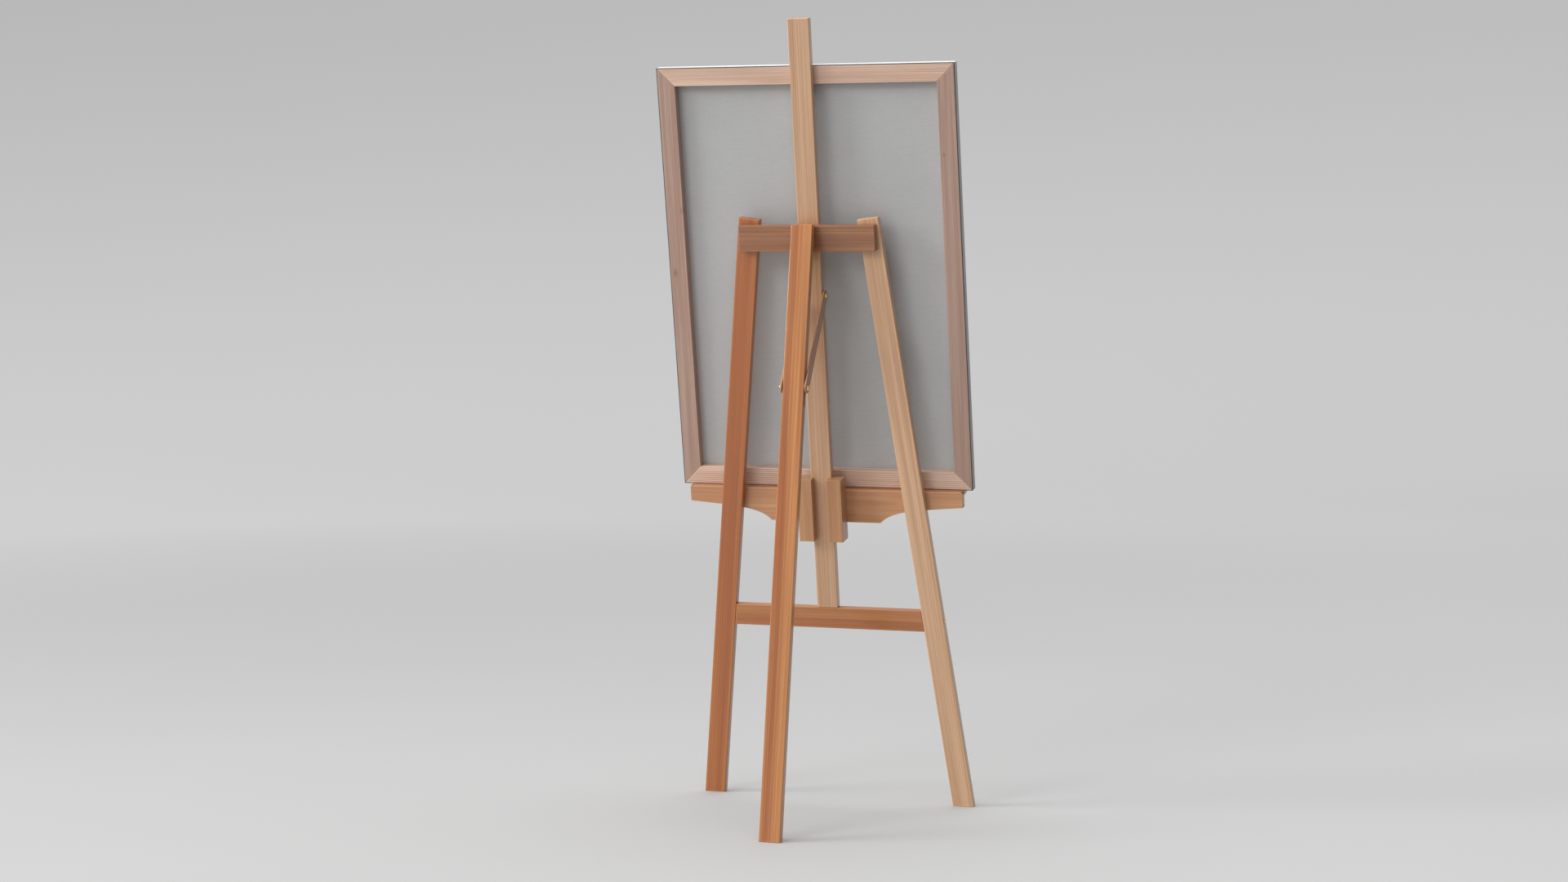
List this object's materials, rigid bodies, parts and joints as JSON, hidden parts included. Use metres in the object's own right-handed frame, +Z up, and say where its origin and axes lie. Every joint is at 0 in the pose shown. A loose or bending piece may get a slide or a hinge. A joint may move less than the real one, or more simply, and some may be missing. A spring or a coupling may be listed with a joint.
{
  "type": "a-frame studio easel",
  "caption": "Wooden floor easel: splayed front legs, centre mast, hinged rear leg with two stays, sliding tray and a stretched canvas.",
  "frame": {"origin": "on the floor, in the middle of the footprint of the three feet", "axes": "+Z up; the painter stands at -Y and the rear leg is at +Y; X runs across, with the easel's own left at +X"},
  "size_m": [0.762, 0.5886, 1.9776],
  "materials": {
    "leg_wood": "oiled, orange brown with darker streaks",
    "mast_wood": "oiled, light tan with fine straight grain",
    "tray_wood": "oiled, mid brown, plain sawn",
    "pine": "bare planed pine",
    "canvas_cloth": "white primed face, grey linen back",
    "brass": "polished",
    "steel": "bright zinc"
  },
  "bodies": {
    "front_frame": {"brace_bolt_left": "brass", "brace_bolt_right": "brass", "crossbar_screw_left_lower": "brass", "crossbar_screw_left_upper": "brass", "crossbar_screw_right_lower": "brass", "crossbar_screw_right_upper": "brass", "hinge_fixed_leaf": "brass", "hinge_fixed_leaf_screw_1": "brass", "hinge_fixed_leaf_screw_2": "brass", "hinge_fixed_leaf_screw_3": "brass", "hinge_pin": "steel", "left_front_leg": "leg_wood", "lower_brace": "leg_wood", "mast": "mast_wood", "mast_cap_nut": "brass", "mast_foot_screw_left": "brass", "mast_foot_screw_right": "brass", "mast_screw_lower": "brass", "mast_screw_upper": "brass", "mast_stay_bolt": "brass", "mast_washer_left": "brass", "mast_washer_right": "brass", "right_front_leg": "mast_wood", "top_crossbar": "tray_wood"},
    "rear_leg_set": {"hinge_moving_leaf": "brass", "hinge_moving_leaf_screw_1": "brass", "hinge_moving_leaf_screw_2": "brass", "hinge_moving_leaf_screw_3": "brass", "rear_leg": "leg_wood"},
    "stay_pair": {"left_stay": "mast_wood", "leg_cap_nut": "brass", "leg_stay_bolt": "brass", "leg_washer_left": "brass", "leg_washer_right": "brass", "right_stay": "mast_wood"},
    "tray": {"block_screw_left_lower": "brass", "block_screw_left_upper": "brass", "block_screw_right_lower": "brass", "block_screw_right_upper": "brass", "ledge_dowel_1": "pine", "ledge_dowel_2": "pine", "ledge_dowel_3": "pine", "left_slider_block": "tray_wood", "right_slider_block": "tray_wood", "threaded_insert": "brass", "tray_apron": "tray_wood", "tray_front_lip": "tray_wood", "tray_ledge": "tray_wood"},
    "knob": {"knob_stud": "steel", "tray_knob": "mast_wood"},
    "canvas": {"canvas_cloth": "canvas_cloth", "stretcher_bottom": "pine", "stretcher_left": "pine", "stretcher_right": "pine", "stretcher_top": "pine"}
  },
  "joints": [
    {"name": "leg_fold", "type": "hinge", "parent": "front_frame", "child": "rear_leg_set", "pos_m": [0, 0.01132, 1.46912], "axis": [-1, 0, 0], "range_deg": [0, 19.8]},
    {"name": "stay_swing", "type": "hinge", "parent": "front_frame", "child": "stay_pair", "pos_m": [0, -0.05618, 1.30224], "axis": [-1, 0, 0], "range_deg": [0, 32.8]},
    {"name": "tray_slide", "type": "slide", "parent": "front_frame", "child": "tray", "axis": [0, 0.1719, 0.9851], "range_m": [-0.178, 0.22]},
    {"name": "knob_turn", "type": "hinge", "parent": "tray", "child": "knob", "pos_m": [0, -0.18243, 0.76088], "axis": [0, -0.9851, 0.1719], "range_deg": [0, 360]},
    {"name": "canvas_lift", "type": "slide", "parent": "tray", "child": "canvas", "axis": [0, 0.1719, 0.9851], "range_m": [0, 0.12]}
  ],
  "couplings": [
    {"joint": "stay_swing", "follows": "leg_fold", "ratio": 1.6523}
  ]
}
